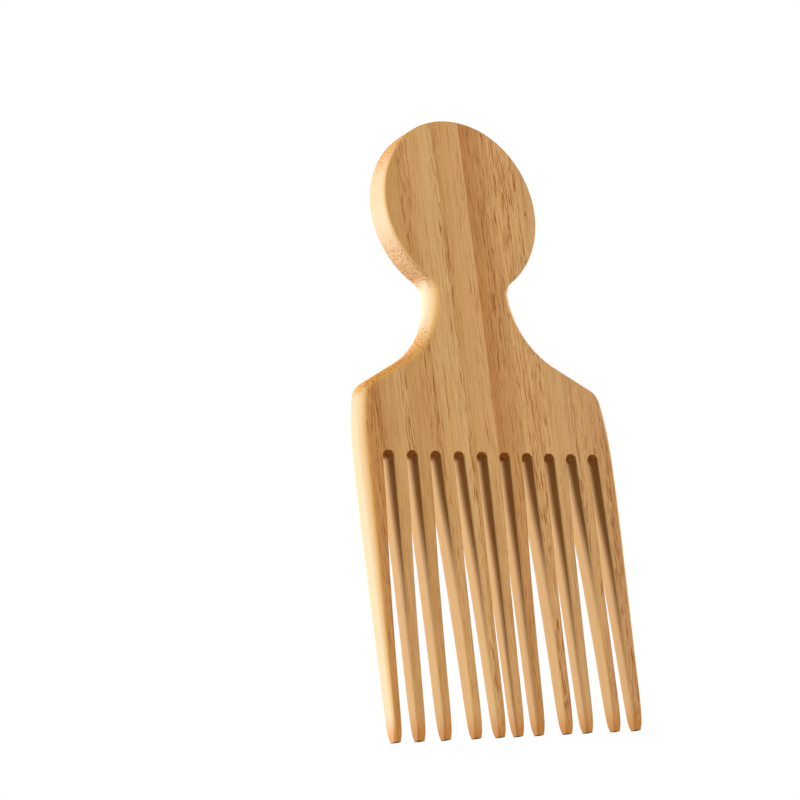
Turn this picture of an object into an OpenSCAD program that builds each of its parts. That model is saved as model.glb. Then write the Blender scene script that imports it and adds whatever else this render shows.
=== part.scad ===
// Wide-toothed afro pick with a round palm disc, cut from one board of bamboo laths glued edge to edge.
// The pick stands on its tooth tips: X runs across the width, Y through the thickness, Z up to the disc.
// The front face looks along -Y, and the tips stand on the plane z = 0.

/* [Board] */
// Overall length, from the tooth tips to the top of the disc
overall_l = 200; // [180:1:220]
// Thickness of the board
board_t = 9.2; // [8:0.1:11]

/* [Disc] */
// Diameter of the palm disc
disc_d = 59; // [50:0.2:68]
// Rounding of the disc's rim
disc_edge_r = 1; // [0.5:0.1:1.5]

/* [Waist] */
// Narrowest width between the disc and the shoulders
waist_w = 31.2; // [28:0.2:36]
// Distance from the foot of the disc up to the narrowest place
waist_rise = 1.3; // [0.5:0.1:3]
// Radius of the hollow on each side of the waist
waist_r = 27.2; // [23:0.2:29]
// Radius of the hollow between the waist and the disc on the left, where it is sanded soft
left_notch_r = 6; // [3:0.5:7]
// Radius of the hollow between the waist and the disc on the right
right_notch_r = 2.5; // [2:0.5:7]
// Rounding of the long edges at the narrowest place, nearly a full half round
waist_edge_r = 4.1; // [3:0.1:4.4]

/* [Shoulders] */
// Widest width of the board, just above the slots
body_w = 96.4; // [84:0.2:108]
// Slope of the shoulders below level, in degrees
shoulder_angle = 28.5; // [25:0.5:32]
// Radius of the shoulder corners
corner_r = 7; // [4:0.5:10]
// Radius of the gently bowed flanks below the shoulder corners
flank_r = 110; // [90:5:150]
// Rounding of the front edges of the shoulders and the flanks
front_edge_r = 2.8; // [2:0.1:3.5]
// Rounding of the back edges of the shoulders and the flanks
back_edge_r = 4; // [2:0.1:4.2]

/* [Teeth] */
// Length of the slots, from the tooth tips to the slot tops
slot_l = 89; // [80:1:95]
// Width of the outermost teeth at their roots
edge_tooth_w = 7; // [6.4:0.1:8]
// Width of the slots at their roots
slot_w = 4.1; // [3.8:0.1:4.6]
// Width of a tooth at its blunt tip
tip_w = 2.6; // [2.2:0.1:3]
// Thickness of a tooth at its blunt tip
tip_t = 3; // [2.5:0.1:4]
// Rounding of the tooth edges along the middle of the tooth
tooth_edge_r = 1.2; // [0.8:0.1:1.2]
// Rounding of the slot edges at the slot roots
root_edge_r = 0.4; // [0.2:0.1:0.6]

/* [Hidden] */

// How far cutting shapes run past what they cut
overrun = 1;

// Number of laths across the board, of those that run past the waist into the disc, and of slots
lath_count = 10;
neck_lath_count = 4;
slot_count = 10;

// Width of a lath, and distance of the middle glue joint from the centre line, as shares of the tooth pitch
lath_share = 1.218;
joint_shift_share = 0.275;

// Levels up the hollows between the waist and the disc, as shares of their height: the last lies in the disc
NOTCH_LEVEL_SHARES = [0.35, 0.7, 1.1];

// Largest rounding of a long edge as a share of the board's thickness
edge_limit_share = 0.48;

// Step between the levels down the hollow of the waist, in degrees
waist_step = 12;

// Bamboo tone of each lath, left to right: the sixth is a darker, redder culm
LATH_TONES = [
    [0.80, 0.62, 0.40], [0.79, 0.60, 0.38], [0.78, 0.59, 0.37], [0.80, 0.61, 0.38], [0.78, 0.60, 0.37],
    [0.71, 0.50, 0.30], [0.79, 0.60, 0.39], [0.80, 0.61, 0.40], [0.77, 0.57, 0.35], [0.74, 0.53, 0.32]];

// Hand finishing left each tooth leaning a little: sideways shift of its tip as a share of the pitch
LEAN_SHARES = [-0.26, -0.28, -0.19, 0.1, 0.11, -0.1, -0.2, 0.05, -0.04, 0.21, 0.16];

// Stations down a tooth, from root to tip, as shares of its length
STATION_SHARES = [0, 0.12, 0.45, 0.72, 0.91, 0.97, 1];
// How far width, thickness, lean and edge rounding have gone at each station, as shares of their full change
WIDTH_SHARES = [0, 0.04, 0.43, 0.57, 0.66, 0.76, 1];
THICKNESS_SHARES = [0, 0.03, 0.27, 0.5, 0.63, 0.76, 1];
LEAN_PATH_SHARES = [0, 0.13, 0.53, 0.8, 0.95, 0.98, 1];
FLANK_PATH_SHARES = [0, 0.05, 0.3, 0.52, 0.7, 0.82, 1];
EDGE_SHARES = [0, 0.4, 1, 1, 1, 0.9, 0.75];

// Heights: disc centre, narrowest place of the waist, and the centre of the round slot roots
disc_z = overall_l - disc_d / 2;
waist_z = overall_l - disc_d + waist_rise;
root_z = slot_l - slot_w / 2;

// The inner teeth share what the outermost teeth and the slots leave of the width
root_tooth_w = (body_w - 2 * edge_tooth_w - slot_count * slot_w) / (slot_count - 1);
tooth_pitch = root_tooth_w + slot_w;

// Centre of the waist hollow, and the shoulder line off it: the points p with shoulder_n * p = shoulder_d
waist_c = [waist_w / 2 + waist_r, waist_z];
shoulder_n = [sin(shoulder_angle), cos(shoulder_angle)];
shoulder_m = [cos(shoulder_angle), -sin(shoulder_angle)];
shoulder_d = shoulder_n * waist_c - waist_r;

// Centre of the flank's bow, and of the corner arc that joins it to the shoulder line
flank_c = [body_w / 2 - flank_r, root_z];
corner_rise = shoulder_d - corner_r - shoulder_n * flank_c;
corner_reach = sqrt(pow(flank_r - corner_r, 2) - pow(corner_rise, 2));
corner_c = flank_c + corner_rise * shoulder_n + corner_reach * shoulder_m;

// Heights where the flank, the corner arc, the shoulder line and the waist hollow meet
corner_low_z = flank_c[1] + (corner_c[1] - flank_c[1]) * flank_r / (flank_r - corner_r);
corner_top_z = corner_c[1] + corner_r * shoulder_n[1];
shoulder_top_z = waist_c[1] - waist_r * shoulder_n[1];

// Hollow between the waist and the disc on side -1 or 1: its radius, its centre, and where the disc meets it
function notch_r(side) = side < 0 ? left_notch_r : right_notch_r;
function notch_c(side) =
    let (x = waist_w / 2 + notch_r(side))
    [x, disc_z - sqrt(pow(disc_d / 2 + notch_r(side), 2) - pow(x, 2))];
function notch_end(side) = mix([0, disc_z], notch_c(side), disc_d / (disc_d + 2 * notch_r(side)));
notch_top_z = max(notch_end(-1)[1], notch_end(1)[1]);

// Half width of the body on side -1 or 1, at height z above the slot roots
function half_w(z, side) =
    z < corner_low_z ? flank_c[0] + sqrt(pow(flank_r, 2) - pow(z - flank_c[1], 2)) :
    z < corner_top_z ? corner_c[0] + sqrt(pow(corner_r, 2) - pow(z - corner_c[1], 2)) :
    z < shoulder_top_z ? (shoulder_d - shoulder_n[1] * z) / shoulder_n[0] :
    z < waist_z ? waist_c[0] - sqrt(pow(waist_r, 2) - pow(z - waist_c[1], 2)) :
    z < notch_c(side)[1] ? waist_w / 2 :
    z < notch_end(side)[1] ? notch_c(side)[0] - sqrt(pow(notch_r(side), 2) - pow(z - notch_c(side)[1], 2)) :
    notch_end(side)[0];

// How squarely the outline faces sideways at height z: 1 on a vertical edge, less on a sloping one
function facing(z, side) =
    z < corner_low_z ? (half_w(z, side) - flank_c[0]) / flank_r :
    z < corner_top_z ? (half_w(z, side) - corner_c[0]) / corner_r :
    z < shoulder_top_z ? shoulder_n[0] :
    z < waist_z ? (waist_c[0] - half_w(z, side)) / waist_r :
    z < notch_c(side)[1] ? 1 :
    (notch_c(side)[0] - half_w(z, side)) / notch_r(side);

function mix(a, b, share) = a + (b - a) * share;

// Rounding of a long edge at height z, where the shoulders and flanks have rounding r
function body_edge_r(z, side, r) = min(board_t * edge_limit_share,
    z < shoulder_top_z ? r :
    z < waist_z ? mix(r, waist_edge_r, (z - shoulder_top_z) / (waist_z - shoulder_top_z)) :
    mix(waist_edge_r, disc_edge_r, min(1, (z - waist_z) / (notch_end(side)[1] - waist_z))));

function steps(a, b, count) = [for (k = [1:count]) mix(a, b, k / count)];

// Tooth sizes at station k
function station_z(k) = root_z * (1 - STATION_SHARES[k]);
function tooth_w(k) = mix(root_tooth_w, tip_w, WIDTH_SHARES[k]);
function half_t(k) = mix(board_t, tip_t, THICKNESS_SHARES[k]) / 2;
function edge_r(k) = mix(root_edge_r, tooth_edge_r, EDGE_SHARES[k]);
function flank_edge_r(k, r) =
    let (tip_r = tooth_edge_r * EDGE_SHARES[len(EDGE_SHARES) - 1])
    mix(min(board_t * edge_limit_share, r), tip_r, STATION_SHARES[k]);
function tooth_x(i, k) = tooth_pitch * (i - slot_count / 2 + LEAN_SHARES[i] * LEAN_PATH_SHARES[k]);

// Outer side of the outermost tooth on side -1 or 1, at station k
function outer_x(side, k) =
    let (i = side < 0 ? 0 : slot_count, last = len(STATION_SHARES) - 1)
    side * mix(body_w / 2, side * tooth_x(i, last) + tip_w / 2, FLANK_PATH_SHARES[k]);

// Corner of a level section, from the side face round to the front or back face, with rounding r
CORNER_ANGLES = [0, 30, 60, 90];
function corner(x, y, side, face, r, squareness) =
    [for (a = CORNER_ANGLES) [x - side * r / squareness * (1 - cos(a)), face * (y - r * (1 - sin(a)))]];

function backwards(list) = [for (k = [len(list) - 1:-1:0]) list[k]];

// Level sections with rounded corners: of the tooth field at station k, and of the body at height z
function tooth_section(k) =
    let (x0 = outer_x(-1, k), x1 = outer_x(1, k), h = half_t(k))
    let (front_r = flank_edge_r(k, front_edge_r), back_r = flank_edge_r(k, back_edge_r))
    concat(
        corner(x1, h, 1, 1, back_r, 1),
        backwards(corner(x0, h, -1, 1, back_r, 1)),
        corner(x0, h, -1, -1, front_r, 1),
        backwards(corner(x1, h, 1, -1, front_r, 1)));
function body_corner(z, side, face) = corner(
    side * half_w(z, side), board_t / 2, side, face,
    body_edge_r(z, side, face < 0 ? front_edge_r : back_edge_r), facing(z, side));
function body_section(z) = concat(
    body_corner(z, 1, 1),
    backwards(body_corner(z, -1, 1)),
    body_corner(z, -1, -1),
    backwards(body_corner(z, 1, -1)));

function raised(points, z) = [for (p = points) [p[0], p[1], z]];

// Closed solid through level rings of equal even length, lowest first, each running the same way round.
// Point k of a ring lies across from point n - 1 - k, so strips between the two close the ends.
module loft(rings) {
    n = len(rings[0]);
    m = len(rings);
    points = [for (ring = rings) for (p = ring) p];
    sides = [for (r = [0:m - 2]) for (k = [0:n - 1])
        let (a = r * n + k, b = r * n + (k + 1) % n) each [[a, a + n, b], [b, a + n, b + n]]];
    ends = [for (k = [0:n / 2 - 2]) [k, k + 1, n - 2 - k, n - 1 - k]];
    top = [for (f = ends) [for (v = backwards(f)) (m - 1) * n + v]];
    polyhedron(points, concat(ends, sides, top), convexity = 6);
}

// Levels of the body above the slot roots
BODY_LEVELS = concat(
    steps(root_z, corner_low_z, 2),
    steps(corner_low_z, corner_top_z, 4),
    [for (a = [90 - shoulder_angle:-waist_step:1]) waist_c[1] - waist_r * sin(a)],
    [waist_z],
    [for (share = NOTCH_LEVEL_SHARES) mix(waist_z, notch_top_z, share)]);

TOOTH_ORDER = [for (k = [len(STATION_SHARES) - 1:-1:0]) k];

// The body and the uncut tooth field, from the tips up into the disc
module body_blank() {
    tooth_rings = [for (k = TOOTH_ORDER) raised(tooth_section(k), station_z(k))];
    body_rings = [for (z = BODY_LEVELS) raised(body_section(z), z)];
    loft(concat(tooth_rings, body_rings));
}

// The palm disc with its rounded rim
module disc() {
    r = disc_d / 2;
    t = board_t / 2;
    e = disc_edge_r;
    rim = concat(
        [for (a = [-90:45:0]) [r - e + e * cos(a), e - t + e * sin(a)]],
        [for (a = [0:45:90]) [r - e + e * cos(a), t - e + e * sin(a)]]);
    translate([0, 0, disc_z]) rotate([90, 0, 0])
        rotate_extrude($fn = 120) polygon(concat([[0, -t]], rim, [[0, t]]));
}

// Side of a slot cutter: it flares over the rounded edges of the tooth beside it
SLOT_EDGE_ANGLES = [0, 45, 90];
function flare(x, h, side, r) =
    let (
        arc = [for (a = SLOT_EDGE_ANGLES) [x + side * r * (1 - cos(a)), h - r * (1 - sin(a))]],
        run = arc[2] - arc[1])
    [arc[0], arc[1], arc[2] + run * overrun / run[1]];
function flare_side(x, h, side, r) =
    let (half = flare(x, h, side, r))
    concat([for (p = backwards(half)) [p[0], -p[1]]], half);
function slot_section(x0, x1, h, r) = concat(flare_side(x1, h, 1, r), backwards(flare_side(x0, h, -1, r)));

// Rise of the round slot root, in degrees
ROOT_ANGLES = [30, 60, 84];

// Cutter for slot i, between teeth i and i + 1
module slot_cutter(i) {
    centre_x = tooth_pitch * (i - slot_count / 2 + 1 / 2);
    last = len(STATION_SHARES) - 1;
    function slot_ring(k, z) = raised(slot_section(
        tooth_x(i, k) + tooth_w(k) / 2, tooth_x(i + 1, k) - tooth_w(k) / 2, half_t(k), edge_r(k)), z);
    tooth_rings = concat([slot_ring(last, -overrun)], [for (k = TOOTH_ORDER) slot_ring(k, station_z(k))]);
    root_rings = [for (a = ROOT_ANGLES)
        let (w = slot_w / 2 * cos(a), z = root_z + slot_w / 2 * sin(a))
        raised(slot_section(centre_x - w, centre_x + w, board_t / 2, root_edge_r), z)];
    loft(concat(tooth_rings, root_rings));
}

// The uncut board: body, tooth field and disc
module board() {
    body_blank();
    disc();
}

// The slots that reach between x0 and x1
module slots(x0, x1) {
    for (i = [0:slot_count - 1])
        if (tooth_x(i, 0) < x1 && tooth_x(i + 1, 0) > x0) slot_cutter(i);
}

// Glue joint j lies between laths j - 1 and j, and the outermost two lie clear outside the board
far_x = body_w / 2 + overrun;
function joint_x(j) =
    j == 0 ? -far_x :
    j == lath_count ? far_x :
    tooth_pitch * (joint_shift_share + (j - lath_count / 2) * lath_share);

// The neck laths run on past the waist: the first of them, and the first lath beyond the last of them
first_neck_lath = (lath_count - neck_lath_count) / 2;
end_neck_lath = first_neck_lath + neck_lath_count;

// Slab of the board between x0 and x1, z0 and z1
module slab(x0, x1, z0, z1) {
    translate([x0, -board_t, z0]) cube([x1 - x0, 2 * board_t, z1 - z0]);
}

// Only the neck laths run on past the waist
module lath(j) {
    x0 = joint_x(j);
    x1 = joint_x(j + 1);
    in_neck = j >= first_neck_lath && j < end_neck_lath;
    color(LATH_TONES[j]) difference() {
        intersection() {
            board();
            slab(x0, x1, -overrun, in_neck ? overall_l + overrun : waist_z);
        }
        slots(x0, x1);
    }
}

// Offcut of lath j, beside the neck, that stays on the disc between x0 and x1
module disc_cheek(j, x0, x1) {
    color(LATH_TONES[j]) intersection() {
        board();
        slab(x0, x1, waist_z, overall_l + overrun);
    }
}

for (j = [0:lath_count - 1])
    lath(j);
disc_cheek(first_neck_lath - 1, -far_x, joint_x(first_neck_lath));  // disc_cheek_left
disc_cheek(end_neck_lath, joint_x(end_neck_lath), far_x);  // disc_cheek_right
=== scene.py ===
"""Looks of a wide-toothed bamboo hair pick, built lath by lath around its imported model."""

import bisect
import math

import bmesh
import bpy
from mathutils import Matrix, Vector


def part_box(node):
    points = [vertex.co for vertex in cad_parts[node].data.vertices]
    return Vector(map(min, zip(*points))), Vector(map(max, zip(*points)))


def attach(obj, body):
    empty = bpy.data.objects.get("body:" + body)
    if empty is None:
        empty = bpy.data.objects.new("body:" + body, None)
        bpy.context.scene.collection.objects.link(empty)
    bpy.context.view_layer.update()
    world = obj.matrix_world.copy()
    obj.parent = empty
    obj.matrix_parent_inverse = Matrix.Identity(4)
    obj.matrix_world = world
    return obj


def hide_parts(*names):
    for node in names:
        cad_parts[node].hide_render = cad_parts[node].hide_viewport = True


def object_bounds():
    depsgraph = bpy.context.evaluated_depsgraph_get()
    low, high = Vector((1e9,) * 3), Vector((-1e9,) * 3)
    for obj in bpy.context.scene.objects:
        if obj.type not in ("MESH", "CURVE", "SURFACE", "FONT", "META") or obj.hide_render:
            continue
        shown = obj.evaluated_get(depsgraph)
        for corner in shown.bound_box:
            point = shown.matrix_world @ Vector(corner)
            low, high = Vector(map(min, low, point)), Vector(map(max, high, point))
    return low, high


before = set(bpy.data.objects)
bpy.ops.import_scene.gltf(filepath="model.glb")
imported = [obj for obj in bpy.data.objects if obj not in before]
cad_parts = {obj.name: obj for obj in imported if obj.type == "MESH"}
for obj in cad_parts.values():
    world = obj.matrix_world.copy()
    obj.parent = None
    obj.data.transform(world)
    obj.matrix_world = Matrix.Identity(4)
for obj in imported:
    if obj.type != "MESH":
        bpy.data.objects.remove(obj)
cad_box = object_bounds()

MM = 0.001

# Laths from left to right, and the two cheeks of the disc with the lath that each was cut from
LATHS = [
    "edge_lath_left",
    "shoulder_lath_left",
    "flare_lath_left",
    "neck_lath_left",
    "centre_lath_left",
    "centre_lath_right",
    "neck_lath_right",
    "flare_lath_right",
    "shoulder_lath_right",
    "edge_lath_right",
]
NECK_LATHS = LATHS[3:7]
CHEEKS = {"disc_cheek_left": "flare_lath_left", "disc_cheek_right": "flare_lath_right"}

# Sizes that the frame gives: overall length, half the board's thickness, half the widest width
LENGTH = cad_box[1].z
HALF_BOARD = cad_box[1].y
HALF_BODY = cad_box[1].x

# Palm disc and waist
DISC_R = 29.5 * MM
DISC_EDGE_R = 1.0 * MM
WAIST_HALF = 15.6 * MM
WAIST_RISE = 1.3 * MM
WAIST_R = 27.2 * MM
WAIST_EDGE_R = 4.1 * MM

# Radius of the hollow between waist and disc, on the left (-1) and on the right (1)
NOTCH_R = {-1: 6.0 * MM, 1: 2.5 * MM}

# Shoulders, flanks and the rounding of their long edges, at the front (-1) and at the back (1)
SHOULDER_SLOPE = math.radians(28.5)
CORNER_R = 7.0 * MM
FLANK_R = 110.0 * MM
BODY_EDGE_R = {-1: 2.8 * MM, 1: 4.0 * MM}

# Teeth and the slots between them
SLOT_COUNT = 10
SLOT_L = 89.0 * MM
SLOT_W = 4.1 * MM
EDGE_TOOTH_W = 7.0 * MM
TIP_W = 2.6 * MM
TIP_T = 3.0 * MM
TOOTH_EDGE_R = 1.2 * MM
ROOT_EDGE_R = 0.4 * MM

# Sideways lean of each tooth tip as a share of the pitch
LEAN_SHARES = [-0.26, -0.28, -0.19, 0.1, 0.11, -0.1, -0.2, 0.05, -0.04, 0.21, 0.16]

# Way down a tooth from root to tip, and how far its width, thickness, lean and edges have changed there
STATION_SHARES = [0, 0.12, 0.45, 0.72, 0.91, 0.97, 1]
WIDTH_SHARES = [0, 0.04, 0.43, 0.57, 0.66, 0.76, 1]
THICKNESS_SHARES = [0, 0.03, 0.27, 0.5, 0.63, 0.76, 1]
LEAN_PATH_SHARES = [0, 0.13, 0.53, 0.8, 0.95, 0.98, 1]
FLANK_PATH_SHARES = [0, 0.05, 0.3, 0.52, 0.7, 0.82, 1]
EDGE_SHARES = [0, 0.4, 1, 1, 1, 0.9, 0.75]

# How far cutting shapes run past what they cut, how far from the outer edge or from a glue joint still
# counts as on it, and how near a plane a point counts as cut by it
OVERRUN = 1.0 * MM
OUTLINE_SLACK = 0.05 * MM
CUT_SLACK = 0.0001 * MM

# How finely the shapes are modelled, and the steepest turn that is still shaded smooth
CORNER_STEPS = 8
TOOTH_LEVELS = 48
ROOT_LEVELS = 12
FLANK_LEVELS = 6
SHOULDER_LEVELS = 14
SLOPE_LEVELS = 2
WAIST_LEVELS = 24
NOTCH_LEVELS = 12
DISC_STEPS = 240
DISC_EDGE_STEPS = 5
SMOOTH_ANGLE = math.radians(32)

# Heights of the disc's centre, the waist and the slot roots, and the spacing of the teeth
DISC_Z = LENGTH - DISC_R
WAIST_Z = LENGTH - 2 * DISC_R + WAIST_RISE
ROOT_Z = SLOT_L - SLOT_W / 2
ROOT_TOOTH_W = (2 * HALF_BODY - 2 * EDGE_TOOTH_W - SLOT_COUNT * SLOT_W) / (SLOT_COUNT - 1)
PITCH = ROOT_TOOTH_W + SLOT_W

# Outline of one half, in x and z: the shoulder line with its outward and its downward direction, and the
# centres of the waist, the flank and the corner, whose arcs all touch one another or that line
SLOPE_N = Vector((math.sin(SHOULDER_SLOPE), math.cos(SHOULDER_SLOPE)))
SLOPE_M = Vector((math.cos(SHOULDER_SLOPE), -math.sin(SHOULDER_SLOPE)))
WAIST_C = Vector((WAIST_HALF + WAIST_R, WAIST_Z))
SLOPE_D = SLOPE_N.dot(WAIST_C) - WAIST_R
FLANK_C = Vector((HALF_BODY - FLANK_R, ROOT_Z))
CORNER_RISE = SLOPE_D - CORNER_R - SLOPE_N.dot(FLANK_C)
CORNER_REACH = math.sqrt((FLANK_R - CORNER_R) ** 2 - CORNER_RISE**2)
CORNER_C = FLANK_C + CORNER_RISE * SLOPE_N + CORNER_REACH * SLOPE_M

# Heights at which the flank, the corner and the shoulder line end
CORNER_LOW_Z = FLANK_C.y + (CORNER_C.y - FLANK_C.y) * FLANK_R / (FLANK_R - CORNER_R)
CORNER_TOP_Z = CORNER_C.y + CORNER_R * SLOPE_N.y
SHOULDER_TOP_Z = WAIST_C.y - WAIST_R * SLOPE_N.y

# Centre of the hollow between waist and disc on each side, and where the disc meets it
NOTCH_C = {
    side: Vector((WAIST_HALF + r, DISC_Z - math.sqrt((DISC_R + r) ** 2 - (WAIST_HALF + r) ** 2)))
    for side, r in NOTCH_R.items()
}
NOTCH_END = {
    side: Vector((0, DISC_Z)).lerp(centre, DISC_R / (DISC_R + NOTCH_R[side]))
    for side, centre in NOTCH_C.items()
}
NOTCH_TOP_Z = max(end.y for end in NOTCH_END.values())


def mix(a, b, share):
    return a + (b - a) * share


def eased(shares, way):
    """Smooth curve through the shares at the stations, with no overshoot between them."""
    gaps = [b - a for a, b in zip(STATION_SHARES, STATION_SHARES[1:])]
    slopes = [(b - a) / gap for a, b, gap in zip(shares, shares[1:], gaps)]
    tangents = [slopes[0]]
    for before, after in zip(slopes, slopes[1:]):
        tangents.append(0 if before * after <= 0 else 2 * before * after / (before + after))
    tangents.append(slopes[-1])
    k = min(bisect.bisect_right(STATION_SHARES, way) - 1, len(gaps) - 1)
    t = (way - STATION_SHARES[k]) / gaps[k]
    start = shares[k] * (1 + 2 * t) * (1 - t) ** 2 + tangents[k] * gaps[k] * t * (1 - t) ** 2
    end = shares[k + 1] * t * t * (3 - 2 * t) + tangents[k + 1] * gaps[k] * t * t * (t - 1)
    return start + end


def half_w(z, side):
    """Half width of the body on side -1 or 1, at height z above the slot roots."""
    if z < CORNER_LOW_Z:
        return FLANK_C.x + math.sqrt(FLANK_R**2 - (z - FLANK_C.y) ** 2)
    if z < CORNER_TOP_Z:
        return CORNER_C.x + math.sqrt(CORNER_R**2 - (z - CORNER_C.y) ** 2)
    if z < SHOULDER_TOP_Z:
        return (SLOPE_D - SLOPE_N.y * z) / SLOPE_N.x
    if z < WAIST_Z:
        return WAIST_C.x - math.sqrt(WAIST_R**2 - (z - WAIST_C.y) ** 2)
    if z < NOTCH_C[side].y:
        return WAIST_HALF
    if z < NOTCH_END[side].y:
        return NOTCH_C[side].x - math.sqrt(NOTCH_R[side] ** 2 - (z - NOTCH_C[side].y) ** 2)
    return NOTCH_END[side].x


def facing(z, side):
    """How squarely the outline faces sideways at height z: 1 on a vertical edge, less on a sloping one."""
    if z < CORNER_LOW_Z:
        return (half_w(z, side) - FLANK_C.x) / FLANK_R
    if z < CORNER_TOP_Z:
        return (half_w(z, side) - CORNER_C.x) / CORNER_R
    if z < SHOULDER_TOP_Z:
        return SLOPE_N.x
    if z < WAIST_Z:
        return (WAIST_C.x - half_w(z, side)) / WAIST_R
    if z < NOTCH_C[side].y:
        return 1.0
    return (NOTCH_C[side].x - half_w(z, side)) / NOTCH_R[side]


def body_edge_r(z, side, face):
    """Rounding of a long edge at height z: fullest at the waist, and down to the disc's own above it."""
    if z < SHOULDER_TOP_Z:
        return BODY_EDGE_R[face]
    if z < WAIST_Z:
        return mix(BODY_EDGE_R[face], WAIST_EDGE_R, (z - SHOULDER_TOP_Z) / (WAIST_Z - SHOULDER_TOP_Z))
    rise = (z - WAIST_Z) / (NOTCH_END[side].y - WAIST_Z)
    return mix(WAIST_EDGE_R, DISC_EDGE_R, min(1, rise))


def tooth_x(i, way):
    return PITCH * (i - SLOT_COUNT / 2 + LEAN_SHARES[i] * eased(LEAN_PATH_SHARES, way))


def tooth_w(way):
    return mix(ROOT_TOOTH_W, TIP_W, eased(WIDTH_SHARES, way))


def half_t(way):
    return mix(2 * HALF_BOARD, TIP_T, eased(THICKNESS_SHARES, way)) / 2


def edge_r(way):
    return mix(ROOT_EDGE_R, TOOTH_EDGE_R, eased(EDGE_SHARES, way))


def outer_x(side, way):
    """Outer side of the outermost tooth on side -1 or 1."""
    i = 0 if side < 0 else SLOT_COUNT
    tip = side * tooth_x(i, 1) + TIP_W / 2
    return side * mix(HALF_BODY, tip, eased(FLANK_PATH_SHARES, way))


def face_outwards(bm):
    """Turns every face of a closed shape outwards, also where the shape is hollow-sided."""
    bmesh.ops.recalc_face_normals(bm, faces=bm.faces[:])
    if bm.calc_volume(signed=True) < 0:
        bmesh.ops.reverse_faces(bm, faces=bm.faces[:])


def tube(points, heights, place):
    """Closed tube through level rings: a circle drawn out level by level, which place(k, level) shapes."""
    bm = bmesh.new()
    bmesh.ops.create_circle(bm, segments=points, radius=1)
    bmesh.ops.contextual_create(bm, geom=bm.edges[:])
    ring = bm.edges[:]
    for _ in heights[1:]:
        drawn = bmesh.ops.extrude_edge_only(bm, edges=ring)["geom"]
        ring = [e for e in drawn if isinstance(e, bmesh.types.BMEdge)]
        fresh = [v for v in drawn if isinstance(v, bmesh.types.BMVert)]
        bmesh.ops.translate(bm, verts=fresh, vec=(0, 0, 1))
    bmesh.ops.contextual_create(bm, geom=ring)
    for v in bm.verts:
        k = round(math.atan2(v.co.y, v.co.x) * points / math.tau) % points
        level = round(v.co.z)
        x, y = place(k, level)
        v.co = (x, y, heights[level])
    face_outwards(bm)
    return bm


def steps(a, b, count):
    return [mix(a, b, k / count) for k in range(1, count + 1)]


def as_object(bm, name):
    mesh = bpy.data.meshes.new(name)
    bm.to_mesh(mesh)
    bm.free()
    made = bpy.data.objects.new(name, mesh)
    bpy.context.scene.collection.objects.link(made)
    return made


def body_blank():
    """The body with its uncut tooth field, from the tips up into the disc."""
    ways = [1 - k / TOOTH_LEVELS for k in range(TOOTH_LEVELS)] + [0]
    waist_low = math.pi / 2 - SHOULDER_SLOPE
    turns = steps(waist_low, 0, WAIST_LEVELS)
    body = (
        steps(ROOT_Z, CORNER_LOW_Z, FLANK_LEVELS)
        + steps(CORNER_LOW_Z, CORNER_TOP_Z, SHOULDER_LEVELS)
        + steps(CORNER_TOP_Z, SHOULDER_TOP_Z, SLOPE_LEVELS)
        + [WAIST_C.y - WAIST_R * math.sin(turn) for turn in turns]
        + steps(WAIST_Z, NOTCH_TOP_Z, NOTCH_LEVELS)
        + [NOTCH_TOP_Z + OVERRUN]
    )
    heights = [ROOT_Z * (1 - way) for way in ways] + body

    def place(k, level):
        corner, step = divmod(k, CORNER_STEPS)
        side = 1 if corner in (0, 3) else -1
        face = 1 if corner in (0, 1) else -1
        share = step / (CORNER_STEPS - 1)
        turn = math.pi / 2 * (share if corner in (0, 2) else 1 - share)
        if level < len(ways):
            way = ways[level]
            depth = reach = mix(BODY_EDGE_R[face], TOOTH_EDGE_R * EDGE_SHARES[-1], way)
            x, y = outer_x(side, way), half_t(way)
        else:
            z = heights[level]
            x, y = side * half_w(z, side), HALF_BOARD
            depth = body_edge_r(z, side, face)
            reach = depth / facing(z, side)
        return x - side * reach * (1 - math.cos(turn)), face * (y - depth * (1 - math.sin(turn)))

    return as_object(tube(4 * CORNER_STEPS, heights, place), "body_blank")


def disc():
    """The palm disc with its rounded rim."""
    bm = bmesh.new()
    bmesh.ops.create_cone(
        bm, cap_ends=True, segments=DISC_STEPS, radius1=DISC_R, radius2=DISC_R, depth=2 * HALF_BOARD
    )
    rim = [e for e in bm.edges if abs(e.verts[0].co.z - e.verts[1].co.z) < OVERRUN]
    bmesh.ops.bevel(
        bm,
        geom=rim,
        offset=DISC_EDGE_R,
        segments=DISC_EDGE_STEPS,
        profile=0.5,
        affect="EDGES",
        material=-1,
    )
    bmesh.ops.rotate(bm, verts=bm.verts[:], matrix=Matrix.Rotation(math.pi / 2, 3, "X"))
    bmesh.ops.translate(bm, verts=bm.verts[:], vec=(0, 0, DISC_Z))
    return as_object(bm, "disc")


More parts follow.
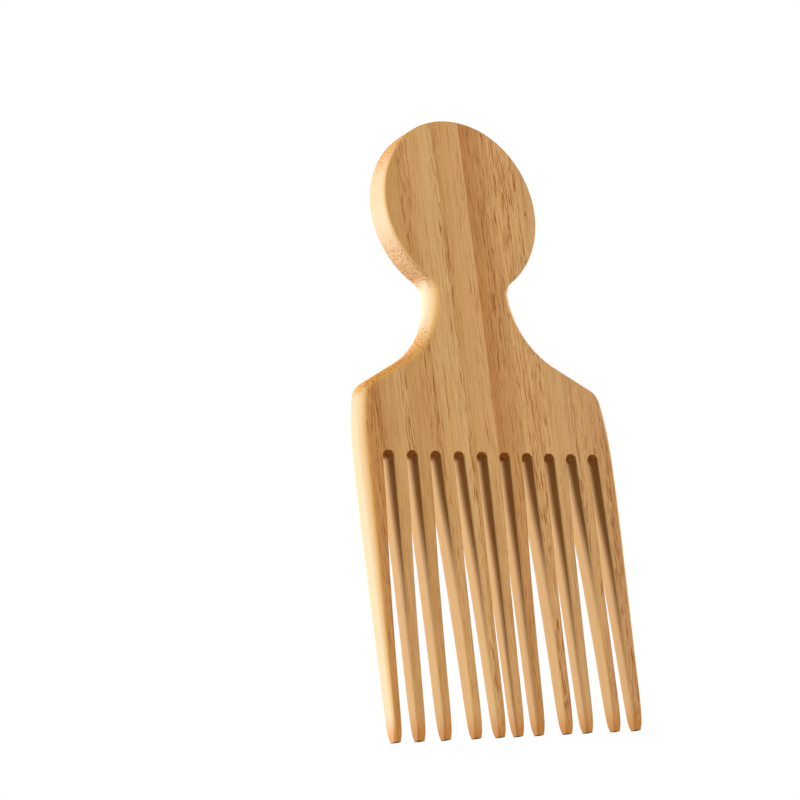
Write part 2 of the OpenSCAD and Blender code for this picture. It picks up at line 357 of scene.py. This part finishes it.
def slot_cutter(i):
    """Cutter for slot i, which flares over the rounded edges of the teeth beside it."""
    ways = [1 - k / TOOTH_LEVELS for k in range(TOOTH_LEVELS)] + [0]
    turns = [math.pi / 2 * k / ROOT_LEVELS for k in range(1, ROOT_LEVELS)]
    heights = [-OVERRUN] + [ROOT_Z * (1 - way) for way in ways]
    heights += [ROOT_Z + SLOT_W / 2 * math.sin(turn) for turn in turns]
    middle = PITCH * (i - SLOT_COUNT / 2 + 1 / 2)
    per_side = 2 * (CORNER_STEPS + 1)

    def place(k, level):
        side = 1 if k < per_side else -1
        step = k % per_side
        face = -side if step < per_side / 2 else side
        inner = step if step >= per_side / 2 else per_side - 1 - step
        share = (inner - per_side / 2) / (CORNER_STEPS - 1)
        if level < len(ways) + 1:
            way = ways[max(level - 1, 0)]
            x = tooth_x(i + 1, way) - tooth_w(way) / 2 if side > 0 else tooth_x(i, way) + tooth_w(way) / 2
            y, r = half_t(way), edge_r(way)
        else:
            x = middle + side * SLOT_W / 2 * math.cos(turns[level - len(ways) - 1])
            y, r = HALF_BOARD, ROOT_EDGE_R
        if share > 1:
            return x + side * (r + OVERRUN), face * (y + OVERRUN)
        turn = math.pi / 2 * share
        return x + side * r * (1 - math.cos(turn)), face * (y - r * (1 - math.sin(turn)))

    return as_object(tube(2 * per_side, heights, place), f"slot_cutter_{i}")


def combined(base, tools, operation):
    """The base with each tool joined to it or cut from it, as one mesh."""
    for tool in tools:
        cut = base.modifiers.new(tool.name, "BOOLEAN")
        cut.operation = operation
        cut.solver = "EXACT"
        cut.object = tool
    bpy.context.view_layer.update()
    graph = bpy.context.evaluated_depsgraph_get()
    mesh = bpy.data.meshes.new_from_object(base.evaluated_get(graph))
    for used in [base, *tools]:
        bpy.data.objects.remove(used)
    made = bpy.data.objects.new("board", mesh)
    bpy.context.scene.collection.objects.link(made)
    return made


def keep_side(bm, at, towards):
    """Cuts the board with a plane and keeps the side that the plane faces, with the cut closed."""
    geom = bm.verts[:] + bm.edges[:] + bm.faces[:]
    done = bmesh.ops.bisect_plane(
        bm, geom=geom, dist=CUT_SLACK, plane_co=at, plane_no=towards, clear_inner=True
    )
    rim = [e for e in done["geom_cut"] if isinstance(e, bmesh.types.BMEdge) and e.is_boundary]
    bmesh.ops.holes_fill(bm, edges=rim, sides=0)


def on_outline(at):
    """1 on the outer edge of the pick and its rounding, 0 on the faces and inside the slots."""
    side = 1 if at.x > 0 else -1
    if at.z < ROOT_Z:
        way = 1 - at.z / ROOT_Z
        reach = mix(BODY_EDGE_R[1], TOOTH_EDGE_R, way)
        return float(side * at.x > side * outer_x(side, way) - reach - OUTLINE_SLACK)
    if at.z < NOTCH_END[side].y:
        reach = max(body_edge_r(at.z, side, face) for face in (-1, 1)) / facing(at.z, side)
        return float(side * at.x > half_w(at.z, side) - reach - OUTLINE_SLACK)
    return float(math.hypot(at.x, at.z - DISC_Z) > DISC_R - DISC_EDGE_R - OUTLINE_SLACK)


def piece(board, name):
    """One lath or cheek, sawn out of the board between its glue joints."""
    low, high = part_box(name)
    bm = bmesh.new()
    bm.from_mesh(board.data)
    joints = []
    if name not in ("edge_lath_left", "disc_cheek_left"):
        keep_side(bm, (low.x, 0, 0), (1, 0, 0))
        joints.append(low.x)
    if name not in ("edge_lath_right", "disc_cheek_right"):
        keep_side(bm, (high.x, 0, 0), (-1, 0, 0))
        joints.append(high.x)
    if name in CHEEKS:
        keep_side(bm, (0, 0, WAIST_Z), (0, 0, 1))
    elif name not in NECK_LATHS:
        keep_side(bm, (0, 0, WAIST_Z), (0, 0, -1))
    face_outwards(bm)
    outline = bm.verts.layers.float.new("outline")
    for v in bm.verts:
        v[outline] = on_outline(v.co)

    # Smooth shading, but glue joints and true corners stay sharp
    for face in bm.faces:
        face.smooth = True
    for edge in bm.edges:
        at_joint = any(all(abs(v.co.x - x) < OUTLINE_SLACK for v in edge.verts) for x in joints)
        edge.smooth = not at_joint and edge.calc_face_angle(0) < SMOOTH_ANGLE
    made = as_object(bm, name + "_wood")
    weighted = made.modifiers.new("even_faces", "WEIGHTED_NORMAL")
    weighted.keep_sharp = True
    return made


def node(tree, kind, inputs=None, **settings):
    """One shader node, with its settings and with what goes into its sockets."""
    made = tree.nodes.new(kind)
    for key, value in settings.items():
        setattr(made, key, value)
    for key, value in (inputs or {}).items():
        if isinstance(value, bpy.types.NodeSocket):
            tree.links.new(value, made.inputs[key])
        else:
            made.inputs[key].default_value = value
    return made


def maths(tree, operation, a, b=0.0):
    return node(tree, "ShaderNodeMath", {0: a, 1: b}, operation=operation).outputs[0]


def vector_maths(tree, operation, a, b):
    return node(tree, "ShaderNodeVectorMath", {0: a, 1: b}, operation=operation).outputs[0]


def length(tree, vector):
    return node(tree, "ShaderNodeVectorMath", {0: vector}, operation="LENGTH").outputs["Value"]


def ramp(tree, value, low, high, to_low=0.0, to_high=1.0):
    """Value carried from low..high to to_low..to_high, eased at both ends and held outside."""
    inputs = {"Value": value, "From Min": low, "From Max": high, "To Min": to_low, "To Max": to_high}
    return node(tree, "ShaderNodeMapRange", inputs, interpolation_type="SMOOTHSTEP").outputs["Result"]


def blend(tree, share, a, b):
    """Colour a carried over to colour b by the share."""
    inputs = {"Factor": share, "A": a, "B": b}
    made = tree.nodes.new("ShaderNodeMix")
    made.data_type = "RGBA"
    for socket in made.inputs:
        if socket.type in ("VALUE", "RGBA") and socket.name in inputs and not socket.is_unavailable:
            value = inputs[socket.name]
            if isinstance(value, bpy.types.NodeSocket):
                tree.links.new(value, socket)
            else:
                socket.default_value = value
    return next(s for s in made.outputs if s.type == "RGBA" and not s.is_unavailable)


def stretched(tree, place, repeats, shift):
    """Object millimetres times the repeats per millimetre on each axis, shifted for a pattern of its own."""
    scaled = vector_maths(tree, "MULTIPLY", place, repeats)
    return vector_maths(tree, "ADD", scaled, (shift, shift * 2, shift * 3))


def noise(tree, place, detail, roughness):
    inputs = {"Vector": place, "Scale": 1.0, "Detail": detail, "Roughness": roughness}
    return node(tree, "ShaderNodeTexNoise", inputs).outputs["Fac"]


def screen_colour(*values):
    """A colour from its 0 to 255 screen values."""
    shares = [value / 255 for value in values]
    return tuple(s / 12.92 if s <= 0.04 else ((s + 0.055) / 1.055) ** 2.4 for s in shares) + (1.0,)


# Face of each lath, from left to right: ground colour at its left and its right joint, streak colour, and
# where the fibre streaks lie, as pairs of the share of the way across the lath and how dense they are there
FACES = {
    "edge_lath_left": (
        screen_colour(194, 140, 78),
        screen_colour(188, 134, 76),
        screen_colour(142, 84, 32),
        [(0.0, 0.3), (0.4, 0.3), (0.5, 0.8), (0.6, 0.4), (0.75, 0.8), (0.9, 0.7), (1.0, 1.0)],
    ),
    "shoulder_lath_left": (
        screen_colour(193, 146, 90),
        screen_colour(203, 160, 104),
        screen_colour(154, 98, 42),
        [(0.0, 0.3), (0.42, 0.05), (0.48, 0.4), (0.55, 0.1)]
        + [(0.75, 0.1), (0.8, 0.8), (0.87, 0.5), (0.95, 0.9)],
    ),
    "flare_lath_left": (
        screen_colour(191, 145, 88),
        screen_colour(195, 148, 91),
        screen_colour(150, 94, 38),
        [(0.0, 0.8), (0.07, 0.3), (0.15, 0.05), (0.5, 0.05), (0.62, 0.6), (0.85, 0.5), (0.96, 1.0)],
    ),
    "neck_lath_left": (
        screen_colour(199, 153, 96),
        screen_colour(206, 165, 111),
        screen_colour(156, 100, 42),
        [(0.0, 0.6), (0.1, 0.3), (0.35, 0.1), (0.4, 0.4), (0.45, 0.0), (0.82, 0.0), (0.88, 0.6), (0.96, 0.8)],
    ),
    "centre_lath_left": (
        screen_colour(194, 148, 91),
        screen_colour(203, 158, 103),
        screen_colour(154, 98, 42),
        [(0.0, 0.8), (0.1, 0.4), (0.2, 0.15), (0.55, 0.15), (0.7, 0.3), (0.85, 0.4), (1.0, 0.4)],
    ),
    "centre_lath_right": (
        screen_colour(181, 127, 71),
        screen_colour(200, 154, 99),
        screen_colour(144, 86, 34),
        [(0.0, 0.5), (0.12, 0.4), (0.25, 0.5), (0.55, 0.6)]
        + [(0.65, 0.5), (0.75, 0.3), (0.9, 0.3), (0.97, 0.8)],
    ),
    "neck_lath_right": (
        screen_colour(202, 156, 100),
        screen_colour(205, 161, 106),
        screen_colour(150, 92, 38),
        [(0.0, 0.4), (0.1, 0.5), (0.25, 0.7), (0.6, 0.6), (0.75, 0.3), (0.85, 0.8), (0.92, 0.9), (1.0, 0.4)],
    ),
    "flare_lath_right": (
        screen_colour(199, 155, 102),
        screen_colour(197, 154, 105),
        screen_colour(148, 92, 40),
        [(0.0, 0.1), (0.2, 0.2), (0.4, 0.1), (0.65, 0.05), (0.8, 0.3), (0.9, 0.8), (0.94, 0.95), (1.0, 0.8)],
    ),
    "shoulder_lath_right": (
        screen_colour(199, 154, 101),
        screen_colour(196, 150, 101),
        screen_colour(146, 90, 38),
        [(0.0, 0.4), (0.1, 0.2), (0.3, 0.5), (0.4, 0.2), (0.6, 0.4), (0.75, 0.2), (0.85, 0.9), (0.92, 1.0)],
    ),
    "edge_lath_right": (
        screen_colour(194, 146, 92),
        screen_colour(188, 138, 82),
        screen_colour(142, 86, 34),
        [(0.0, 0.8), (0.5, 0.6), (1.0, 0.6)],
    ),
}

# Colours where the cut runs another way than along the face; the three pale ones are a painted highlight on
# the outer sides, which are painted paler than the slot walls
SIDE_PAINTED_HIGHLIGHT = screen_colour(226, 200, 167)
WAIST_PAINTED_HIGHLIGHT = screen_colour(236, 216, 190)
ROUNDED_PAINTED_HIGHLIGHT = screen_colour(250, 217, 164)
SLOT_HONEY = screen_colour(209, 172, 117)
END_ORANGE = screen_colour(226, 164, 74)
# Painted shade: the golden band along the left outer edge, where the light turns away from the face
EDGE_PAINTED_SHADE = screen_colour(222, 166, 84)
DOT_BROWN = screen_colour(146, 76, 20)
KNOT_BROWN = screen_colour(104, 62, 32)
TIP_ORANGE = screen_colour(190, 124, 54)

# Heights in millimetres: the oiled tips, the painted highlight on the waist fading in and out, and the
# stretch over which the end grain stops reaching further round the corners
TIP_TINT_Z = 9.0
WAIST_FADE_IN_Z = (118, 128)
WAIST_FADE_OUT_Z = (140, 148)
CORNER_GRAIN_Z = (106.0, 116.0)

# Patterns in the wood, as repeats per millimetre across, through and up the board
DASHES = (3.0, 3.0, 0.15)
DASH_GROUPS = (0.25, 0.25, 0.03)
BANDS = (0.45, 0.3, 0.008)
FIBRES = (3.0, 3.0, 0.05)

# Shift of the first lath's patterns, and from each lath to the next, so that no two laths are alike
PATTERN_START = 1.3
PATTERN_STEP = 3.7

# Drift of the fibres: repeats per millimetre across and up, and its reach sideways in millimetres
DRIFTS = [(0.03, 0.012, 3.0), (0.9, 0.35, 0.22)]

# Bundle dots on end grain: dots per millimetre in two sizes, and how often they change up the board
LARGE_DOTS = 1.3
SMALL_DOTS = 1.9
DOT_RISE = 0.05

# How strongly the streaks, the sides and the end grain cover the ground colour
STREAK_COVER = 0.75
SIDE_COVER = 0.8
END_COVER = 0.8

# Surface: satin and nearly without shine, with a faint relief of the fibres
ROUGHNESS = 0.55
SHINE = 0.1
RELIEF_STRENGTH = 0.3
RELIEF_DEPTH = 0.05 * MM

# Small knot marks near the rim of the disc: across, up, half width and half height in millimetres
KNOTS = {"disc_cheek_right": [(24.8, 169.8, 0.4, 1.2), (28.9, 167.3, 0.7, 1.5)]}


def profile(tree, share, levels):
    """The level at each share of the way, carried evenly from one pair to the next."""
    made = node(tree, "ShaderNodeValToRGB", {"Fac": share})
    points = made.color_ramp.elements
    while len(points) < len(levels):
        points.new(0.5)
    for point, (at, level) in zip(points, levels):
        point.position = at
        point.color = (level, level, level, 1.0)
    return made.outputs["Color"]


def wandering(tree, place, seed):
    """Where the fibres come from: they drift slowly sideways on their way up, and waver a little."""
    moved = place
    for across, up, reach in DRIFTS:
        spot = stretched(tree, place, (across, across, up), seed)
        clouds = node(tree, "ShaderNodeTexNoise", {"Vector": spot, "Scale": 1.0, "Detail": 1.0})
        drift = vector_maths(tree, "SUBTRACT", clouds.outputs["Color"], (0.5, 0.5, 0.5))
        drift = vector_maths(tree, "MULTIPLY", drift, (reach, reach, 0))
        moved = vector_maths(tree, "ADD", moved, drift)
    return moved


def bundle_dots(tree, grain, per_mm, shift):
    """Fibre bundles cut across: round dots, more than one for each millimetre."""
    spot = stretched(tree, grain, (per_mm, per_mm, DOT_RISE), shift)
    cells = node(tree, "ShaderNodeTexVoronoi", {"Vector": spot, "Scale": 1.0}).outputs["Distance"]
    return ramp(tree, cells, 0.22, 0.4, 1.0, 0.0)


def cut_shares(tree, z):
    """How far each spot is a side, end grain or the golden line along a rounded edge, which is painted shade,
    and how far it shows bundle dots.
    """
    normal = node(tree, "ShaderNodeSeparateXYZ", {0: node(tree, "ShaderNodeNewGeometry").outputs["Normal"]})
    sideways, frontal, upward = (maths(tree, "ABSOLUTE", normal.outputs[axis]) for axis in "XYZ")
    outline = node(tree, "ShaderNodeAttribute", attribute_name="outline").outputs["Fac"]

    # On the outline, the rounding already counts as part of the side, so the sides' painted highlight covers
    # it too
    outer_side = maths(tree, "MULTIPLY", ramp(tree, sideways, 0.25, 0.65), outline)
    side = maths(tree, "MAXIMUM", ramp(tree, sideways, 0.6, 0.95), outer_side)

    # End grain is weaker on an outline that faces down, so that rim shows the paler side colour, a painted
    # highlight
    upward = maths(tree, "ADD", upward, ramp(tree, z, *CORNER_GRAIN_Z, 0.15, 0.0))
    from_below = maths(tree, "MULTIPLY", ramp(tree, normal.outputs["Z"], -0.2, 0.2, 0.6, 0.0), outline)
    kept = maths(tree, "SUBTRACT", 1.0, from_below)
    end_grain = maths(tree, "MULTIPLY", ramp(tree, upward, 0.3, 0.7), kept)
    faded_outside = ramp(tree, outline, 0.0, 1.0, 1.0, 0.6)
    dotted = maths(tree, "MULTIPLY", ramp(tree, upward, 0.25, 0.6), faded_outside)

    # Painted shade: the line where a face turns into the outline is golden, on the left only, as a band where
    # the light from the left turns away from the face
    edge = ramp(tree, frontal, 0.7, 0.88)
    edge = maths(tree, "MULTIPLY", edge, ramp(tree, frontal, 0.93, 0.995, 1.0, 0.0))
    edge = maths(tree, "MULTIPLY", edge, outline)
    edge = maths(tree, "MULTIPLY", edge, ramp(tree, normal.outputs["X"], -0.3, 0.1, 0.45, 0.0))
    return {
        "frontal": frontal,
        "outline": outline,
        "side": side,
        "end_grain": end_grain,
        "dotted": dotted,
        "edge": edge,
    }


def streaks_of(tree, grain, lath, side, seed):
    """Way across the lath, its short dark dashes in bands that come and go, and how densely they lie."""
    low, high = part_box(lath)
    x = node(tree, "ShaderNodeSeparateXYZ", {0: grain}).outputs["X"]
    span = {"Value": x, "From Min": low.x / MM, "From Max": high.x / MM}
    across = node(tree, "ShaderNodeMapRange", span).outputs["Result"]
    fine = noise(tree, stretched(tree, grain, DASHES, seed), 1.0, 0.5)
    slow = noise(tree, stretched(tree, grain, DASH_GROUPS, seed + 4), 2.0, 0.5)
    density = profile(tree, across, FACES[lath][3])
    density = maths(tree, "MULTIPLY", density, ramp(tree, slow, 0.3, 0.65, 0.45, 1.15))
    fewer_on_sides = maths(tree, "SUBTRACT", 1.0, maths(tree, "MULTIPLY", side, 0.6))
    density = maths(tree, "MULTIPLY", density, fewer_on_sides)
    mark = maths(tree, "ADD", fine, maths(tree, "MULTIPLY", density, 0.14))
    streaks = maths(tree, "MULTIPLY", ramp(tree, mark, 0.6, 0.72), ramp(tree, density, 0.0, 0.6, 0.4, 1.0))
    return across, streaks, density


def face_of(tree, grain, lath, side, seed):
    """Colour of a lath's face, and its relief: streaks over broad soft bands and faint fibres."""
    left_ground, right_ground, streak = FACES[lath][:3]
    across, streaks, density = streaks_of(tree, grain, lath, side, seed)
    bands = noise(tree, stretched(tree, grain, BANDS, seed + 2), 2.0, 0.6)
    fibres = noise(tree, stretched(tree, grain, FIBRES, seed + 6), 2.0, 0.6)
    tone = maths(tree, "MULTIPLY", density, 0.05)
    tone = maths(tree, "ADD", tone, ramp(tree, bands, 0.35, 0.65, -0.06, 0.14))
    tone = maths(tree, "ADD", tone, ramp(tree, fibres, 0.35, 0.65, -0.12, 0.26))
    tone = maths(tree, "ADD", tone, maths(tree, "MULTIPLY", streaks, STREAK_COVER))
    colour = blend(tree, tone, blend(tree, across, left_ground, right_ground), streak)
    relief = maths(tree, "SUBTRACT", fibres, maths(tree, "MULTIPLY", streaks, 0.5))
    return colour, relief


def with_cuts(tree, base, grain, z, cut, seed):
    """Base with paler sides, which on the outer edge are a painted highlight, a golden line along the left
    rounded edges that is painted shade, orange end grain with dark dots, and oiled tips.
    """
    # Painted highlight on the outer sides: paler still near the waist and where the rounding turns towards
    # the front, while the slot walls keep their honey colour
    fade_out = ramp(tree, z, *WAIST_FADE_OUT_Z, 1.0, 0.0)
    waist_highlight_share = maths(tree, "MULTIPLY", ramp(tree, z, *WAIST_FADE_IN_Z), fade_out)
    pale = blend(tree, waist_highlight_share, SIDE_PAINTED_HIGHLIGHT, WAIST_PAINTED_HIGHLIGHT)
    rounded = blend(tree, ramp(tree, cut["frontal"], 0.2, 0.6), pale, ROUNDED_PAINTED_HIGHLIGHT)
    side_colour_and_highlight = blend(tree, cut["outline"], SLOT_HONEY, rounded)
    base = blend(tree, maths(tree, "MULTIPLY", cut["side"], SIDE_COVER), base, side_colour_and_highlight)
    # Painted shade: the golden band along the left outer edge
    base = blend(tree, cut["edge"], base, EDGE_PAINTED_SHADE)
    base = blend(tree, maths(tree, "MULTIPLY", cut["end_grain"], END_COVER), base, END_ORANGE)
    small = bundle_dots(tree, grain, SMALL_DOTS, seed)
    dots = maths(tree, "MAXIMUM", small, bundle_dots(tree, grain, LARGE_DOTS, seed + 5))
    base = blend(tree, maths(tree, "MULTIPLY", dots, cut["dotted"]), base, DOT_BROWN)
    return blend(tree, ramp(tree, z, 0.0, TIP_TINT_Z, 0.75, 0.0), base, TIP_ORANGE)


def with_knots(tree, base, grain, frontal, knots):
    """Base with small dark knot marks, which fade where the rim turns away from the face."""
    for knot_x, knot_z, half_width, half_height in knots:
        offset = vector_maths(tree, "SUBTRACT", grain, (knot_x, 0, knot_z))
        offset = vector_maths(tree, "MULTIPLY", offset, (1 / half_width, 0, 1 / half_height))
        away = length(tree, offset)
        shown = maths(tree, "MULTIPLY", ramp(tree, away, 0.4, 1.2, 0.65, 0.0), ramp(tree, frontal, 0.3, 0.9))
        base = blend(tree, shown, base, KNOT_BROWN)
    return base


def bamboo(name, lath):
    """Sanded, lightly oiled bamboo: fibre bundles show as streaks on the face and as dots on end grain."""
    seed = LATHS.index(lath) * PATTERN_STEP + PATTERN_START
    material = bpy.data.materials.new(name + "_bamboo")
    material.use_nodes = True
    tree = material.node_tree
    shader = tree.nodes["Principled BSDF"]
    here = node(tree, "ShaderNodeTexCoord").outputs["Object"]
    place = node(tree, "ShaderNodeVectorMath", {0: here, "Scale": 1 / MM}, operation="SCALE").outputs[0]
    z = node(tree, "ShaderNodeSeparateXYZ", {0: place}).outputs["Z"]
    grain = wandering(tree, place, seed)
    cut = cut_shares(tree, z)
    base, relief = face_of(tree, grain, lath, cut["side"], seed)
    base = with_cuts(tree, base, grain, z, cut, seed)
    base = with_knots(tree, base, grain, cut["frontal"], KNOTS.get(name, []))
    tree.links.new(base, shader.inputs["Base Color"])
    shader.inputs["Roughness"].default_value = ROUGHNESS
    shader.inputs["Specular IOR Level"].default_value = SHINE
    raised = {"Height": relief, "Strength": RELIEF_STRENGTH, "Distance": RELIEF_DEPTH}
    tree.links.new(node(tree, "ShaderNodeBump", raised).outputs["Normal"], shader.inputs["Normal"])
    return material


def dress_pick():
    """Builds the board, saws it into its pieces, and gives each piece its wood."""
    blank = combined(body_blank(), [disc()], "UNION")
    board = combined(blank, [slot_cutter(i) for i in range(SLOT_COUNT)], "DIFFERENCE")
    for name in LATHS + list(CHEEKS):
        wood = piece(board, name)
        wood.data.materials.clear()
        wood.data.materials.append(bamboo(name, CHEEKS.get(name, name)))
        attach(wood, "root")
        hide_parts(name)
    bpy.data.objects.remove(board)


# Camera: where it looks, from which side, how far away, how it is turned, and its lens in millimetres
LOOK_AT = Vector((-28.8, 1.2, 106.6)) * MM
VIEW_AZIMUTH = math.radians(-33.97)
VIEW_ELEVATION = math.radians(-13.62)
VIEW_ROLL = math.radians(-6.83)
VIEW_DISTANCE = 780.0 * MM
VIEW_LENS = 112.59
SENSOR_WIDTH = 36


def add_camera():
    level = math.cos(VIEW_ELEVATION)
    sideways = math.sin(VIEW_AZIMUTH) * level
    back = Vector((sideways, -math.cos(VIEW_AZIMUTH) * level, math.sin(VIEW_ELEVATION)))
    turn = (-back).to_track_quat("-Z", "Y").to_matrix() @ Matrix.Rotation(VIEW_ROLL, 3, "Z")
    lens = bpy.data.cameras.new("camera")
    lens.sensor_width = SENSOR_WIDTH
    lens.lens = VIEW_LENS
    camera = bpy.data.objects.new("camera", lens)
    camera.matrix_world = Matrix.Translation(LOOK_AT + back * VIEW_DISTANCE) @ turn.to_4x4()
    bpy.context.scene.collection.objects.link(camera)
    bpy.context.scene.camera = camera


# Lamps: where each stands and how wide it is, in metres, its power in watts, and its tint
WINDOW_TINT = (1.0, 0.97, 0.93)
PLAIN_TINT = (1.0, 1.0, 1.0)
LAMPS = {
    "window_behind": ((-0.77, 0.73, 0.25), 0.4, 14.5, WINDOW_TINT),
    "window_left": ((-1.05, -0.12, 0.35), 0.2, 5.0, WINDOW_TINT),
    "front_fill": ((0.22, -1.05, 0.32), 0.4, 10.6, PLAIN_TINT),
    "right_fill": ((1.1, 0.3, 0.3), 0.6, 1.5, PLAIN_TINT),
}


def add_lamp(name, at, size, power, tint):
    """A soft area lamp that shines at the middle of the pick."""
    light = bpy.data.lights.new(name, "AREA")
    light.shape = "DISK"
    light.size = size
    light.energy = power
    light.color = tint
    lamp = bpy.data.objects.new(name, light)
    at = Vector(at)
    aim = Vector((0, 0, LENGTH / 2)) - at
    lamp.matrix_world = Matrix.Translation(at) @ aim.to_track_quat("-Z", "Y").to_matrix().to_4x4()
    bpy.context.scene.collection.objects.link(lamp)


# Floor: half its width, how far from the pick it starts to fade and where it ends, its colour for light
# and its colour for the camera
FLOOR_HALF = 3000 * MM
FLOOR_SOLID = 60 * MM
FLOOR_END = 420 * MM
FLOOR_LIT = (0.35, 0.35, 0.35, 1)
FLOOR_SEEN = (0.85, 0.85, 0.85, 1)
FLOOR_ROUGHNESS = 0.9


def add_floor():
    """A pale floor under the tips, seen and hit only from above, which fades away around the pick."""
    bm = bmesh.new()
    bmesh.ops.create_grid(bm, x_segments=1, y_segments=1, size=FLOOR_HALF)
    floor = as_object(bm, "floor")
    material = bpy.data.materials.new("pale_floor")
    material.use_nodes = True
    tree = material.node_tree
    shader = tree.nodes["Principled BSDF"]
    seen = node(tree, "ShaderNodeLightPath").outputs["Is Camera Ray"]
    tree.links.new(blend(tree, seen, FLOOR_LIT, FLOOR_SEEN), shader.inputs["Base Color"])
    shader.inputs["Roughness"].default_value = FLOOR_ROUGHNESS
    under = node(tree, "ShaderNodeNewGeometry").outputs["Backfacing"]
    away = length(tree, node(tree, "ShaderNodeTexCoord").outputs["Object"])
    gone = maths(tree, "MAXIMUM", under, ramp(tree, away, FLOOR_SOLID, FLOOR_END))
    clear = node(tree, "ShaderNodeBsdfTransparent").outputs[0]
    shown = node(tree, "ShaderNodeMixShader", {0: gone, 1: shader.outputs[0], 2: clear}).outputs[0]
    tree.links.new(shown, tree.nodes["Material Output"].inputs["Surface"])
    floor.data.materials.append(material)


# Studio light from all round: the side it is brightest on, the stretch over which it grows towards there,
# its least and its most, and its warm tint
BRIGHT_SIDE = Vector((-0.55, 0.8, 0.2)).normalized()
DOME_STRETCH = (-0.3, 1.0)
DOME_LEAST = 0.07
DOME_MOST = 0.2
DOME_WARM = (1.0, 0.75, 0.38, 1.0)
WHITE = (1, 1, 1, 1)


def add_world():
    """A white background, and a dome of soft light that is brighter behind on the left than in front."""
    world = bpy.data.worlds.new("studio")
    bpy.context.scene.world = world
    world.use_nodes = True
    tree = world.node_tree
    inputs = {0: node(tree, "ShaderNodeTexCoord").outputs["Generated"], 1: BRIGHT_SIDE}
    near_bright = node(tree, "ShaderNodeVectorMath", inputs, operation="DOT_PRODUCT").outputs["Value"]
    dome = ramp(tree, near_bright, *DOME_STRETCH, DOME_LEAST, DOME_MOST)
    ray = node(tree, "ShaderNodeLightPath")
    seen = maths(tree, "MAXIMUM", ray.outputs["Is Camera Ray"], ray.outputs["Is Glossy Ray"])
    seen = maths(tree, "MAXIMUM", seen, ray.outputs["Is Transmission Ray"])
    background = tree.nodes["Background"]
    tree.links.new(blend(tree, seen, DOME_WARM, WHITE), background.inputs["Color"])
    tree.links.new(maths(tree, "MAXIMUM", seen, dome), background.inputs["Strength"])


bpy.context.scene.view_settings.view_transform = "Standard"
add_camera()
add_world()
for lamp_name, lamp in LAMPS.items():
    add_lamp(lamp_name, *lamp)
add_floor()
dress_pick()
